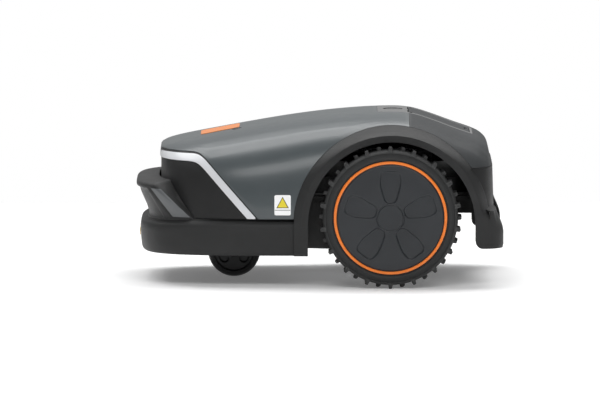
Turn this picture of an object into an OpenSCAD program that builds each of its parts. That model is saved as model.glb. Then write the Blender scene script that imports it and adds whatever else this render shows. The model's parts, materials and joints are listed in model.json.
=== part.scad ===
// Robotic lawn mower with two large drive wheels, one front caster, a
// height-adjustable cutting deck and a floating cover over the chassis.
// Frame: +X forward, +Y to the mower's left, +Z up, the ground at z = 0.

/* [Body] */
// Height of the crest of the cover above the ground
crest_z = 323; // [318:1:328]
// Distance from the origin to the tip of the cover's nose
nose_x = 306; // [300:1:310]
// Distance from the origin to the rear face of the cover
tail_x = 334; // [330:1:337]
// Half width of the cover at its flanks
flank_y = 236; // [233:1:238]
// Wall thickness of the cover panels
skin = 3; // [2.5:0.5:3.5]
// Gap between neighbouring cover panels
seam = 0.4; // [0.2:0.1:0.6]
// Half length of the mower, from the origin to bumper and mudguards
half_l = 350; // [348:1:352]

/* [Wheels] */
// Radius of the drive wheels over the tread lugs
wheel_r = 135; // [133:1:136]
// Distance of the drive axle behind the origin
axle_back = 134.5; // [132:0.5:137]
// Distance from the centre plane to the outer face of a drive wheel
wheel_out = 265; // [262:1:268]
// Width of a drive wheel
wheel_w = 60; // [54:1:62]
// Number of lugs in one row of the tread
lugs = 18; // [15:1:20]
// Radius of the caster wheel
caster_r = 50; // [48:1:51]
// Distance of the caster's swivel axis ahead of the origin
swivel_x = 193.5; // [190:0.5:196]
// Distance from the swivel axis back to the caster's axle
trail = 30; // [26:1:32]

/* [Chassis] */
// Ground clearance under the chassis tub
tub_z = 70; // [68:1:74]
// Height of the joint between the tub and its lid
split_z = 170; // [168:1:172]
// Half width of the tub
tub_y = 182; // [178:1:184]

/* [Cutting deck] */
// Distance of the blade axis behind the origin
blade_back = 35; // [33:1:37]
// Radius of the blade disc
disc_r = 98; // [94:1:102]
// Radius of the circle on which the knives pivot
pivot_r = 88; // [84:1:90]
// Length of a knife from its pivot to its tip
knife_l = 38; // [34:1:38]
// Height of the knives at the highest cut
cut_z = 57; // [56:1:60]

/* [Float] */
// Travel of the cover along X in each direction
bump = 7; // [5:1:8]

/* [Hidden] */
$fn = 64;

hood_col = "#6a7479";
cover_col = "#4d5154";
black_col = "#232526";
trim_col = "#3a3c3d";
orange_col = "#d8681c";
steel_col = "#b8bcc0";
white_col = "#ececec";
green_col = "#2f6b45";

hull_fn = 32;
base_z = 130;                       // lower edge of the hood's flanks
skirt_z = 60;                       // lower edge of the bumper skirt
arch = [-axle_back - 2.5, 118];     // centre of the wheel arch in x and z
arch_in = 159;                      // radius of the arch opening
arch_out = 187;                     // radius of the line between trim and hood
arch_front = arch.x + arch_in;       // front edge of the arch opening
arch_rear = arch.x - arch_in;        // rear edge of the arch opening
guard_z = 74;                       // lower edge of the mudguards
guard_top = 146;                    // line between the mudguards and the rear apron
inlay_gap = 0.3;                      // glue gap behind the bumper's satin panels
guard_bend = 112;                   // height above which the mudguards lean in
leg_x = 49;                         // front edge of the trim's front leg
hood_end = -171;                    // line between the hood and the rear cover
apron_z = 226;                      // top of the rear apron
tyre_in = 110;                      // radius of the tyre's bead
front_n = 4;                        // plan exponent of the rounded front
tail_n = 8;                         // plan exponent of the squarer tail
console = [-293, -111, 75];         // rear end, front end and half width
flap = [-287, -171, 60];            // rear end, front end and half width
hinge = [-173.5, 318.0];            // axis of the flap in x and z
post_y = [-58, 50];                 // near side of each post that holds the flap's pin
sensor = [158, 60];                 // rain sensor in x and y
sensor_r = 9;                        // radius of the rain sensor
button_x = -141;
key_x = -262;
key_y = [-34, 0, 34];
well_r = 132;                       // radius of the deck well in the tub
ceiling_z = 126;                    // underside of the well's ceiling
rod_y = 62;                         // guide rods either side of the blade axis
cam_x = 56;                         // cam drum ahead of the blade axis
cam_r = 12;                         // outer radius of the cam drum
pin_z = 173;                        // height of the cam follower at the highest cut
lead = 40;                          // lift of the deck for one turn of the drum
screw_x = [-250, -60, 230];         // lid screws along each side
screw_y = tub_y + 5;                // lid screws out to each side
flange_y = tub_y + 10;              // half width of the flanges round the tub
battery_x = -213;                   // middle of the battery pack
motor_y = 116;                      // inner end of the drive motors
frame_z = 248;                      // underside of the float frame
posts = [[150, 100], [150, -100], [-190, 100], [-190, -100]];
bosses = [[195, 62], [195, -62], [10, 115], [10, -115]];
rear_bosses = [[-240, 90], [-240, -90]];
ends = [0.86, 0.9, 0.94, 0.97, 0.985, 0.9965];

crest = [
  [-334, 199], [-331, 212], [-323, 252], [-316, 265], [-300, 276.5], [-255, 293], [-205, 311.5],
  [-175, 320], [-140, 323], [-60, 319.5], [50, 307.5], [150, 291], [230, 275.5], [285, 263.5],
  [300, 257.5], [306, 252]
];
fullness = [
  [-334, 4.6], [-175, 3.9], [-20, 3.8], [90, 3.4], [190, 3.5], [255, 4.2], [306, 4.8]
];

// Slope of a curve through the points k at point i
function slope(k, i) =
  let (a = k[max(0, i - 1)], b = k[min(len(k) - 1, i + 1)]) (b.y - a.y) / (b.x - a.x);

// Smooth curve through the points k, read at x
function curve(k, x) =
  let (i = max([0, for (j = [0:len(k) - 2]) if (k[j].x <= x) j]),
       d = k[i + 1].x - k[i].x,
       t = (x - k[i].x) / d)
  k[i].y * (1 + 2 * t) * pow(1 - t, 2) + k[i + 1].y * t * t * (3 - 2 * t)
  + d * t * (1 - t) * (slope(k, i) * (1 - t) - slope(k, i + 1) * t);

// Half width of the cover in plan at x, inset by d
function half_w(x, d) =
  let (a = x > 0 ? nose_x - d : tail_x - d, n = x > 0 ? front_n : tail_n)
  (flank_y - d) * pow(max(0, 1 - pow(abs(x) / a, n)), 1 / n);

// One closed cross-section of the cover at x, inset by d
function cover_section(x, d) =
  let (w = half_w(x, d), p = curve(fullness, x), low = skirt_z - 2 - d,
       far = x > 0 ? nose_x : tail_x,
       h = curve(crest, x * far / (far - d)) + crest_z - 323 - base_z - d)
  concat(
    [[x, w, low]],
    [for (t = [0:6:180])
      [x, w * sign(cos(t)) * pow(abs(cos(t)), 2 / p), base_z + h * pow(abs(sin(t)), 2 / p)]],
    [[x, -w, low]]
  );

// Solid through a row of closed rings with equal numbers of points
module skinned(rings) {
  n = len(rings[0]);
  last = (len(rings) - 1) * n;
  polyhedron(
    points = [for (r = rings) each r],
    faces = concat(
      [[for (j = [0:n - 1]) j]],
      [[for (j = [0:n - 1]) last + n - 1 - j]],
      [for (i = [0:len(rings) - 2]) for (j = [0:n - 1])
        let (a = i * n + j, b = i * n + (j + 1) % n) each [[a, a + n, b], [b, a + n, b + n]]]
    ),
    convexity = 8
  );
}

// The cover as a solid block, inset by d
module cover_block(d) {
  xs = concat(
    [for (k = [5:-1:1]) -(tail_x - d) * ends[k]],
    [for (x = [-292:16:252]) x],
    [for (k = ends) (nose_x - d) * k]
  );
  skinned([for (x = xs) cover_section(x, d)]);
}

// The cover's wall, from an inset of d inward
module cover_wall(d = 0) {
  difference() {
    cover_block(d);
    cover_block(d + skin);
  }
}

// Upright prism of a side-view outline, for y from y0 to y1
module side_cut(y0 = -300, y1 = 300) {
  translate([0, y1, 0]) rotate([90, 0, 0]) linear_extrude(y1 - y0) children();
}

// A mesh solid: everything below it is joined into one skin of triangles
module mesh_solid() { resize([0, 0, 0]) children(); }

// Side-view outlines
nose_edge = [[116, base_z], [212, 239], [226, 250], [244, 255], [310, 255]];
module arch_disc(r, z) { translate(arch) circle(r, $fn = 96); }
module behind_edge(dx) {
  polygon(concat([for (p = nose_edge) [p.x + dx, p.y]], [[310 + dx, 400], [-400, 400],
    [-400, base_z]]));
}
module below_edge(dx, drop) {
  polygon(concat([for (p = nose_edge) [p.x + dx, p.y - drop]], [[400, 255 - drop], [400, 0],
    [116 + dx, 0]]));
}

// Rounded rectangle standing on the plane, with exact arcs
module slab(l, w, h, r) {
  linear_extrude(h) {
    square([l - 2 * r, w], center = true);
    square([l, w - 2 * r], center = true);
    for (x = [-1, 1], y = [-1, 1]) translate([x * (l / 2 - r), y * (w / 2 - r)]) circle(r);
  }
}

module ring(r_out, r_in, h) {
  difference() {
    cylinder(h = h, r = r_out);
    translate([0, 0, -1]) cylinder(h = h + 2, r = r_in);
  }
}

// ---- Cover ----

module console_cut(g) {
  translate([(console[0] + console[1]) / 2, 0, 240])
    slab(console[1] - console[0] + 2 * g, 2 * console[2] + 2 * g, 120, 14);
}

module hood_shell() {
  color(hood_col) mesh_solid() {
    difference() {
      intersection() {
        union() {
          cover_wall();
          intersection() {
            cover_block(skin / 2);
            for (p = bosses) translate([p.x, p.y, frame_z + 5]) cylinder(h = 90, r = 9);
          }
        }
        side_cut() difference() {
          behind_edge(0);
          translate([hood_end - 400 + seam / 2, 0]) square([400, 400]);
          arch_disc(arch_out);
          translate([arch.x, 0]) square([leg_x - arch.x, base_z]);
        }
      }
      console_cut(seam);
      translate([sensor.x, sensor.y, 260]) cylinder(h = 60, r = sensor_r + 0.3, $fn = hull_fn);
    }
  }
}

module rear_cover() {
  color(cover_col) mesh_solid() difference() {
    intersection() {
      union() {
        cover_wall();
        intersection() {
          cover_block(skin / 2);
          for (p = rear_bosses) translate([p.x, p.y, frame_z + 5]) cylinder(h = 90, r = 9);
        }
      }
      side_cut() difference() {
        translate([-400, apron_z + seam / 2]) square([400 + hood_end - seam / 2, 200]);
        arch_disc(arch_out);
      }
    }
    console_cut(seam);
  }
}

// Outline of an arch trim with its front leg, seen from the side
module trim_outline() {
  difference() {
    union() {
      arch_disc(arch_out - seam);
      translate([arch.x, skirt_z]) square([leg_x - seam - arch.x, base_z - skirt_z]);
      translate([-360, guard_z]) square([200, guard_top - guard_z]);
    }
    arch_disc(arch_in);
    translate([arch_rear, 0]) square([arch_front - arch_rear, arch.y]);
    translate([-400, 0]) square([200, guard_z]);
  }
}

// Wall of one trim: it stands 5 mm proud of the cover's flank
module arch_trim(s) {
  color(trim_col) mesh_solid() union() {
    intersection() {
      difference() {
        cover_block(-5);
        cover_block(skin - 1);
      }
      side_cut(s > 0 ? 150 : -300, s > 0 ? 300 : -150) trim_outline();
    }
    mudguard(s);
  }
}

// Rear corner below the cover, rounded in plan and leaning in at the top
module mudguard(s) {
  difference() {
    guard_block(0, guard_z);
    guard_block(skin + 1, guard_z - 1);
    translate([arch_rear - 1, -300, 0]) cube([300, 600, 400]);
    translate([-400, s > 0 ? -300 : -150, 0]) cube([200, 450, 400]);
  }
}

module guard_block(d, low) {
  r = 46;
  hull() for (x = [-200, 0], y = [-1, 1], k = [0, 1])
    translate([x < 0 ? x : -half_l + d + r + k * 14, y * (flank_y + 4 - d - r - k * 3), low])
      cylinder(h = (k == 0 ? guard_bend : guard_top - d) - low, r = r,
        $fn = hull_fn);
}

module arch_trim_left() { arch_trim(1); }
module arch_trim_right() { arch_trim(-1); }

module rear_apron() {
  color(black_col) mesh_solid() intersection() {
    cover_wall(1);
    union() {
      side_cut() difference() {
        translate([-400, guard_top + seam])
          square([110, apron_z - guard_top - 1.5 * seam]);
        arch_disc(arch_out);
      }
      translate([-400, -150 + seam, 90]) cube([400 + arch_rear, 300 - 2 * seam, 100]);
    }
  }
}

module light_stripe() {
  color(white_col) mesh_solid() intersection() {
    cover_wall(1);
    side_cut() difference() {
      below_edge(0, seam);
      below_edge(6, 17);
      translate([-400, 0]) square([800, base_z]);
    }
  }
}

module front_visor() {
  color(black_col) mesh_solid() intersection() {
    cover_wall(3);
    side_cut() difference() {
      below_edge(6, 17 + seam);
      translate([-400, 0]) square([800, base_z + seam]);
    }
  }
}

// Rise of the bumper's crown at x: 0 on the flanks, 1 round the front
function crown(x) = min(1, max(0, (x - 246) / 60));

// Wall profile of the bumper at plan distance x: [inset, height] pairs
function bumper_profile(x) =
  let (c = crown(x), t = 3.5) [
    [15, skirt_z], [9.5, skirt_z + 14], [8, 92], [8.2, 112], [10 + 2 * c, 119 - c],
    [16 + 4 * c, 125 - 2 * c], [18.5 - 5 * c, 127.2 + 20.8 * c], [19 - 15 * c, 128.2 + 41.8 * c],
    [19 - 19 * c, 128.8 + 57.8 * c], [19 - 16 * c, 129.2 + 62 * c], [24 + 20 * c, 129.6 + 71 * c],
    [24 + 20 * c, 129.6 + 71 * c - t], [22.5 - 14 * c, 125.4 + 62 * c],
    [23 - 15 * c, 124.9 + 44 * c], [23.5 - 7 * c, 122.5 + 24 * c], [23.5, 119 + 3 * c],
    [16, 112], [12.6, 105], [11.6, 92], [13, skirt_z + 14], [18.5, skirt_z]
  ];

// Point of the bumper's plan outline at angle q, inset by d
function bumper_plan(q, d) = [
  (half_l - d) * pow(sin(q), 2 / front_n),
  (flank_y + 8 - d) * sign(cos(q)) * pow(abs(cos(q)), 2 / front_n)
];

function bumper_rings(angles, band) = [
  for (q = angles) let (p = bumper_profile(bumper_plan(q, 10).x))
    [for (v = band) each [let (b = bumper_plan(q, p[v.x].x + v.y)) [b.x, b.y, p[v.x].y]]]
];

bumper_angles = [for (i = [-22:22]) let (k = abs(i) / 22)
  90 + sign(i) * (90 - asin(pow((leg_x - 1) / half_l, 2))) * (1 - pow(1 - k, 1.7))];

module front_bumper() {
  color(trim_col) mesh_solid() difference() {
    skinned(bumper_rings(bumper_angles, [for (j = [0:20]) [j, 0]]));
    intersection() {
      cover_block(3 - seam);
      translate([0, -300, base_z - 0.1]) cube([400, 600, 300]);
    }
    translate([-100, -300, 0]) cube([100 + leg_x + seam, 600, 300]);
  }
}

// Satin panels on the crown's corners, a glue gap proud of the bumper's own surface
module bumper_inlays() {
  color(hood_col) for (first = [11, 26])
    skinned(bumper_rings([for (k = [0:7]) bumper_angles[first + k]],
      concat([for (v = [5, 6, 7]) [v, -inlay_gap]],
        [for (v = [7, 6, 5]) [v, -inlay_gap - 1.2]])));
}

module charge_contacts() {
  color("#b98a3a") for (y = [-1, 1]) translate([half_l - 7.8, y * 40 - 6, 84])
    cube([1.5, 12, 14]);
}

module console_panel() {
  color(black_col) difference() {
    mesh_solid() intersection() {
      cover_wall();
      console_cut(0);
      translate([-400, -200, 240]) cube([400, 400, 120]);
      difference() {
        translate([-400, -200, 200]) cube([400, 400, 200]);
        translate([flap[0] - 1, -flap[2] - 1, 200])
          cube([flap[1] - flap[0] + 3, 2 * flap[2] + 2, 200]);
        translate([button_x, 0, 200]) cylinder(h = 200, r = 19);
      }
    }
  }
}

// Tray under the flap, which holds the screen and the keys
module display_module() {
  color(trim_col) difference() {
    union() {
      translate([-290, -66, 262]) cube([10, 132, 10]);
      translate([-280, -66, 262]) cube([100, 132, 3]);
      translate([-183, -66, 262]) cube([3, 132, 40]);
      for (y = post_y) translate([hinge.x - 3, y, 262]) cube([6, 8, hinge.y + 2.6 - 262]);
      translate([-183, -66, 262]) cube([12, 132, 3]);
      translate([-250, -45, 264]) cube([62, 90, 14]);
    }
    for (i = [0:2]) translate([key_x, key_y[i], 255]) cylinder(h = 20, r = 6.4);
    translate([hinge.x, -80, hinge.y]) rotate([-90, 0, 0]) cylinder(h = 160, r = 1.55);
  }
}

module display_flap() {
  color(black_col) difference() {
    union() {
      mesh_solid() intersection() {
        cover_wall();
        translate([(flap[0] + flap[1]) / 2, 0, 230])
          slab(flap[1] - flap[0], 2 * flap[2], 120, 5);
      }
      for (y = [-46, 34]) {
        translate([hinge.x, y, hinge.y]) rotate([-90, 0, 0]) cylinder(h = 12, r = 2.4);
        translate([hinge.x - 8, y, hinge.y - 2.4]) cube([8, 12, 3.6]);
      }
    }
    translate([hinge.x, -80, hinge.y]) rotate([-90, 0, 0]) cylinder(h = 160, r = 1.55);
    for (y = post_y) translate([hinge.x - 4.5, y - 0.6, hinge.y - 8]) cube([12, 9.2, 16]);
  }
}

module flap_pin() {
  color(steel_col) translate([hinge.x, -59, hinge.y]) rotate([-90, 0, 0])
    cylinder(h = 118, r = 1.5);
}

module key(i) {
  color(cover_col) translate([key_x, key_y[i], 258]) {
    cylinder(h = 14, r = 6.2);
    cylinder(h = 1.5, r = 8);
  }
}
module key_1() { key(0); }
module key_2() { key(1); }
module key_3() { key(2); }

module stop_button() {
  color(black_col) translate([button_x, 0, 0]) rotate_extrude()
    polygon([[0, 306], [17, 306], [17, 322], [16, 323], [0, 323]]);
}

module badge_plate() {
  color(orange_col) mesh_solid() intersection() {
    difference() {
      cover_block(-1);
      cover_block(0);
    }
    translate([190, 0, 260]) slab(74, 92, 60, 10);
  }
}

module rain_sensor() {
  color(black_col) translate([sensor.x, sensor.y, 281]) cylinder(h = 9.5, r = sensor_r);
}

module side_labels() {
  color(white_col) for (s = [-1, 1]) mesh_solid() intersection() {
    difference() {
      cover_block(-0.4);
      cover_block(0);
    }
    translate([70, s * 236, 157]) rotate([90, 0, 0]) translate([0, 0, -15])
      slab(33, 40, 30, 3);
  }
}

// Frame that carries the cover on the four float posts
module float_frame() {
  color(trim_col) difference() {
    union() {
      translate([-20, 0, frame_z]) difference() {
        slab(500, 250, 5, 20);
        translate([0, 0, -1]) slab(380, 150, 7, 12);
      }
      for (p = posts) translate([p.x, p.y, frame_z - 8]) slab(56, 44, 8, 6);
    }
    for (p = posts) translate([p.x, p.y, frame_z - 9]) slab(24.4 + 2 * bump, 24.4, 9, 12.1);
    for (p = concat(bosses, rear_bosses)) translate([p.x, p.y, frame_z - 1])
      cylinder(h = 9, r = 2.05);
  }
}

module cover_screws() {
  color(steel_col) for (p = concat(bosses, rear_bosses)) translate([p.x, p.y, frame_z - 3]) {
    cylinder(h = 3, r = 4.5);
    cylinder(h = 8, r = 2);
  }
}

module float_posts() {
  color(black_col) for (p = posts) translate([p.x, p.y, split_z + 36]) {
    cylinder(h = 6, r = 18);
    cylinder(h = frame_z - split_z - 40, r = 8);
    translate([0, 0, frame_z - split_z - 42]) cylinder(h = 6, r = 12);
  }
}

// ---- Chassis ----

module tub_solid(d) {
  translate([-76, 0, tub_z + d]) slab(352 - 2 * d, 2 * (tub_y - d), split_z - tub_z, 46 - d);
  translate([6.5, 0, ceiling_z - 8 + d]) slab(517 - 2 * d, 2 * (tub_y - d), split_z - ceiling_z + 8,
    46 - d);
  translate([-272.5 + d / 2, 0, 134 + d]) slab(65 - d, 2 * (140 - d), 36 - 2.5 * d, 8 - d);
}

module chassis_tub() {
  color(trim_col) difference() {
    union() {
      difference() {
        union() {
          tub_solid(0);
          translate([-10, 0, split_z - 6]) slab(560, 2 * flange_y, 6, 50);
        }
        tub_solid(4);
      }
      translate([-blade_back, 0, tub_z]) ring(well_r + 3, well_r, ceiling_z + 3 - tub_z);
      translate([-blade_back, 0, ceiling_z]) cylinder(h = 3, r = well_r + 3);
      translate([swivel_x, 0, ceiling_z - 8]) cylinder(h = 44, r = 16);
    }
    translate([-blade_back, 0, tub_z - 1]) cylinder(h = ceiling_z - tub_z + 1, r = well_r);
    translate([-blade_back, 0, tub_z]) cylinder(h = 80, r = 38);
    for (y = [-rod_y, rod_y]) translate([-blade_back, y, tub_z]) cylinder(h = 80, r = 5);
    translate([swivel_x, 0, 100]) cylinder(h = 80, r = 12);
    translate([-axle_back, 300, wheel_r]) rotate([90, 0, 0]) cylinder(h = 600, r = 13);
    translate([battery_x, 0, tub_z - 1]) slab(67, 180, 6, 8);
    for (x = screw_x, y = [-screw_y, screw_y]) translate([x, y, split_z - 7]) cylinder(h = 8, r = 2);
  }
}

module chassis_lid() {
  color(cover_col) difference() {
    union() {
      translate([-10, 0, split_z + 2]) slab(550, 2 * tub_y, 34, 46);
      translate([-10, 0, split_z + 2]) slab(560, 2 * flange_y, 5, 50);
    }
    translate([-10, 0, split_z + 1]) slab(542, 2 * tub_y - 8, 32, 42);
    for (x = screw_x, y = [-screw_y, screw_y]) translate([x, y, split_z]) cylinder(h = 10, r = 2.1);
  }
}

module lid_gasket() {
  color(black_col) translate([-10, 0, split_z]) difference() {
    slab(550, 2 * tub_y, 2, 46);
    translate([0, 0, -1]) slab(542, 2 * tub_y - 8, 4, 42);
  }
}

module lid_screws() {
  color(steel_col) for (x = screw_x, y = [-screw_y, screw_y]) translate([x, y, split_z + 7]) {
    cylinder(h = 3, r = 4);
    translate([0, 0, -12]) cylinder(h = 12, r = 2);
  }
}

module battery_pack() {
  color(cover_col) translate([battery_x, 0, tub_z + 4.5]) slab(60, 170, 66, 8);
}

module battery_door() {
  color(black_col) translate([battery_x, 0, tub_z]) slab(66, 179, 4, 7.6);
}

module main_board() {
  color(green_col) translate([116, 0, 0]) {
    translate([-48, -80, 134]) cube([96, 160, 2]);
    for (x = [-18, 36], y = [-72, 64]) translate([x, y, ceiling_z - 4]) cube([8, 8, 12]);
    for (i = [0:3]) translate([-40 + 20 * i, -50, 136]) cube([13, 26, 8 + 2 * i]);
    translate([-30, 10, 136]) cube([40, 40, 3]);
  }
}

module drive_motor(s) {
  color(steel_col) translate([-axle_back, s * motor_y, wheel_r]) rotate([-s * 90, 0, 0])
    difference() {
      union() {
        cylinder(h = 46, r = 27);
        translate([0, 0, 46]) cylinder(h = 13, r = 31);
      }
      translate([0, 0, 28]) cylinder(h = 60, r = 8.03);
    }
}
module drive_motor_left() { drive_motor(1); }
module drive_motor_right() { drive_motor(-1); }

module axle_bearings() {
  color(steel_col) for (s = [-1, 1]) translate([-axle_back, s * 176, wheel_r])
    rotate([-s * 90, 0, 0]) ring(13, 8.03, 10);
}

module caster_bush() {
  color(white_col) translate([swivel_x, 0, ceiling_z - 9]) ring(12, 8.03, 40);
}

module guide_rods() {
  color(steel_col) for (y = [-rod_y, rod_y]) translate([-blade_back, y, ceiling_z + 1])
    cylinder(h = 76, r = 5);
}

// Flat gear motor under the lid, which turns the cam drum
module lift_motor() {
  color(steel_col) translate([cam_x - blade_back, 0, 181.5]) cylinder(h = 21.5, r = 16);
}

// Drum with one helical groove: one turn lowers the deck by the lead
module cam_drum() {
  foot = ceiling_z + 3.5;
  h = 179.5 - foot;
  color(orange_col) translate([cam_x - blade_back, 0, foot]) mesh_solid() union() {
    cylinder(h = 1.2, r = cam_r - 0.5, $fn = hull_fn);
    translate([0, 0, 1]) rotate(180 + 360 * (pin_z - foot - 1) / lead)
      linear_extrude(h, twist = 360 * h / lead, slices = 26) polygon(concat(
        [for (a = [36:24:324]) cam_r * [cos(a), sin(a)]],
        [for (a = [324:24:396]) (cam_r - 4.5) * [cos(a), sin(a)]]));
  }
}

// ---- Cutting deck ----

module deck_carriage() {
  color(cover_col) translate([-blade_back, 0, 0]) difference() {
    union() {
      translate([0, 0, 84]) cylinder(h = 4, r = well_r - 4);
      translate([0, 0, 72]) ring(well_r - 4, well_r - 8, 13);
      translate([0, 0, 84]) cylinder(h = 92, r = 36);
      translate([-12, -rod_y, 170]) cube([24, 2 * rod_y, 6]);
      for (y = [-rod_y, rod_y]) translate([0, y, 170]) cylinder(h = 22, r = 9);
      translate([30, -8, 170]) cube([cam_x - cam_r - 32, 16, 6]);
      translate([34, 0, pin_z]) rotate([0, 90, 0]) cylinder(h = cam_x - cam_r - 31, r = 2.2);
    }
    translate([0, 0, 88]) cylinder(h = 100, r = 30.4);
    cylinder(h = 200, r = 10);
    for (y = [-rod_y, rod_y]) translate([0, y, 100]) cylinder(h = 120, r = 5.05);
  }
}

module blade_motor() {
  color(steel_col) translate([-blade_back, 0, 88]) ring(30, 4.03, 58);
}

module blade_shaft() {
  color(steel_col) translate([-blade_back, 0, cut_z + 4]) {
    cylinder(h = 78, r = 4);
    translate([0, 0, 3]) ring(9, 3.9, 16);
  }
}

module blade_disc() {
  color(steel_col) translate([-blade_back, 0, cut_z + 4]) difference() {
    union() {
      cylinder(h = 3, r = disc_r);
      for (a = [90, 210, 330]) rotate(a) translate([pivot_r, 0, -3.6]) {
        cylinder(h = 4, r = 3);
        translate([0, 0, -1.4]) cylinder(h = 1.5, r = 5);
      }
    }
    cylinder(h = 4, r = 4);
    for (a = [30, 150, 270]) rotate(a) translate([55, 0, -1]) cylinder(h = 5, r = 16);
  }
}

module knife(i) {
  color(steel_col) translate([-blade_back, 0, cut_z + 0.8]) rotate(90 + 120 * i)
    translate([pivot_r, 0, 0]) difference() {
      linear_extrude(1.6) union() {
        circle(9);
        polygon([[0, -9], [knife_l - 6, -9], [knife_l, -3], [knife_l, 3], [knife_l - 6, 9],
          [0, 9]]);
      }
      translate([0, 0, -1]) cylinder(h = 4, r = 3.08);
    }
}
module knife_1() { knife(0); }
module knife_2() { knife(1); }
module knife_3() { knife(2); }

// ---- Drive wheels ----

// Children drawn with z = 0 on the wheel's outer face and +z outward
module at_wheel(s) {
  translate([-axle_back, s * wheel_out, wheel_r]) rotate([-s * 90, 0, 0]) children();
}

// One row of tread lugs from a plan with straight-sided blocks
module lug_row(r_in, r_out, h, turn) {
  step = 360 / lugs;
  linear_extrude(h) rotate(turn) polygon([
    for (i = [0:lugs - 1], v = [[0, r_in], [0.2, r_out - 1.5], [0.24, r_out], [0.46, r_out],
      [0.5, r_out - 1.5], [0.7, r_in]])
      v.y * [cos((i + v.x) * step), sin((i + v.x) * step)]
  ]);
}

module tyre(s) {
  row = wheel_w / 4;
  color(black_col) at_wheel(s) difference() {
    union() {
      translate([0, 0, -wheel_w]) rotate_extrude()
        polygon([[100, 0], [wheel_r - 12, 0], [wheel_r - 7.5, 5], [wheel_r - 7, wheel_w - 5],
          [wheel_r - 12, wheel_w], [100, wheel_w]]);
      for (k = [0:2]) translate([0, 0, -wheel_w + 5 + k * (wheel_w - 10) / 3])
        lug_row(wheel_r - 9, wheel_r, (wheel_w - 10) / 3, 180 / lugs * (k % 2));
    }
    translate([0, 0, -wheel_w - 1]) cylinder(h = wheel_w + 2, r = tyre_in);
  }
}

module rim(s) {
  color(cover_col) at_wheel(s) translate([0, 0, -wheel_w + 2]) difference() {
    union() {
      difference() {
        cylinder(h = wheel_w - 5, r = tyre_in);
        translate([0, 0, -1]) cylinder(h = 38, r = tyre_in - 5);
        translate([0, 0, wheel_w - 9]) cylinder(h = 10, r = tyre_in - 2);
      }
      translate([0, 0, -12]) cylinder(h = 54, r = 18);
      for (a = [0:60:300]) rotate(a) translate([15, -2, 4]) cube([92, 4, 36]);
    }
    translate([0, 0, -20]) cylinder(h = wheel_w + 20, r = 8);
  }
}

module wheel_ring(s) {
  color(orange_col) at_wheel(s) translate([0, 0, -7]) ring(107.7, 102.2, 6);
}

module petal_cut() {
  for (a = [0:72:288]) rotate(a) linear_extrude(3) intersection() {
    polygon([[26, -10.5], [65, -19], [89, -17], [89, 17], [65, 19], [26, 10.5]]);
    circle(90);
  }
}

module wheel_cover(s) {
  color(cover_col) at_wheel(s) difference() {
    translate([0, 0, -7]) union() {
      cylinder(h = 3, r = 102);
      translate([0, 0, 3]) cylinder(h = 2, r = 98);
      translate([0, 0, 5]) cylinder(h = 1.6, r = 23.5);
    }
    rotate(s * -90) translate([0, 0, -3.6]) petal_cut();
  }
}

module axle(s) {
  color(steel_col) translate([-axle_back, s * 146, wheel_r]) rotate([-s * 90, 0, 0])
    cylinder(h = wheel_out - 155, r = 8);
}
module tyre_left() { tyre(1); }
module rim_left() { rim(1); }
module wheel_ring_left() { wheel_ring(1); }
module wheel_cover_left() { wheel_cover(1); }
module axle_left() { axle(1); }
module tyre_right() { tyre(-1); }
module rim_right() { rim(-1); }
module wheel_ring_right() { wheel_ring(-1); }
module wheel_cover_right() { wheel_cover(-1); }
module axle_right() { axle(-1); }

// ---- Caster ----

module caster_fork() {
  color(black_col) difference() {
    union() {
      translate([swivel_x, 0, 107]) cylinder(h = 54, r = 8);
      translate([swivel_x, 0, 107]) cylinder(h = 7, r = 17);
      translate([swivel_x - trail - 14, -26, 103]) cube([trail + 28, 52, 5]);
      for (y = [-26, 20]) translate([swivel_x - trail, y, 0]) {
        translate([-9, 0, caster_r]) cube([18, 6, 56]);
        translate([0, 0, caster_r]) rotate([-90, 0, 0]) cylinder(h = 6, r = 9);
      }
    }
    translate([swivel_x - trail, -40, caster_r]) rotate([-90, 0, 0]) cylinder(h = 80, r = 4);
  }
}

module caster_axle() {
  color(steel_col) translate([swivel_x - trail, -27, caster_r]) rotate([-90, 0, 0])
    cylinder(h = 54, r = 4);
}

module at_caster() {
  translate([swivel_x - trail, -18, caster_r]) rotate([-90, 0, 0]) children();
}

module caster_tyre() {
  color(black_col) at_caster() rotate_extrude()
    polygon(concat([[38, 3], [38, 33]], [for (a = [90:-15:-90]) [40 + 10 * cos(a), 18 + 16 * sin(a)]]));
}

module caster_hub() {
  color(cover_col) at_caster() difference() {
    union() {
      translate([0, 0, 4]) cylinder(h = 28, r = 38);
      cylinder(h = 36, r = 10);
    }
    translate([0, 0, -1]) cylinder(h = 38, r = 4.06);
    for (a = [90, 210, 330]) rotate(a) for (z = [2, 26]) translate([23, 0, z])
      cylinder(h = 8, r = 9);
  }
}

hood_shell();
rear_cover();
front_bumper();
bumper_inlays();
front_visor();
light_stripe();
arch_trim_left();
arch_trim_right();
rear_apron();
console_panel();
display_module();
badge_plate();
rain_sensor();
side_labels();
float_frame();
cover_screws();
charge_contacts();
stop_button();
display_flap();
flap_pin();
key_1();
key_2();
key_3();
float_posts();
chassis_tub();
chassis_lid();
lid_gasket();
lid_screws();
battery_pack();
battery_door();
main_board();
drive_motor_left();
drive_motor_right();
axle_bearings();
caster_bush();
guide_rods();
lift_motor();
cam_drum();
deck_carriage();
blade_motor();
blade_shaft();
blade_disc();
knife_1();
knife_2();
knife_3();
tyre_left();
rim_left();
wheel_ring_left();
wheel_cover_left();
axle_left();
tyre_right();
rim_right();
wheel_ring_right();
wheel_cover_right();
axle_right();
caster_fork();
caster_axle();
caster_tyre();
caster_hub();
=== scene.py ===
"""Looks of the robotic lawn mower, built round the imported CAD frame.

Everything is in metres in the CAD's frame: +X forward, +Y to the mower's left, +Z up, ground at z = 0.
"""
import json
import math

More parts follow.
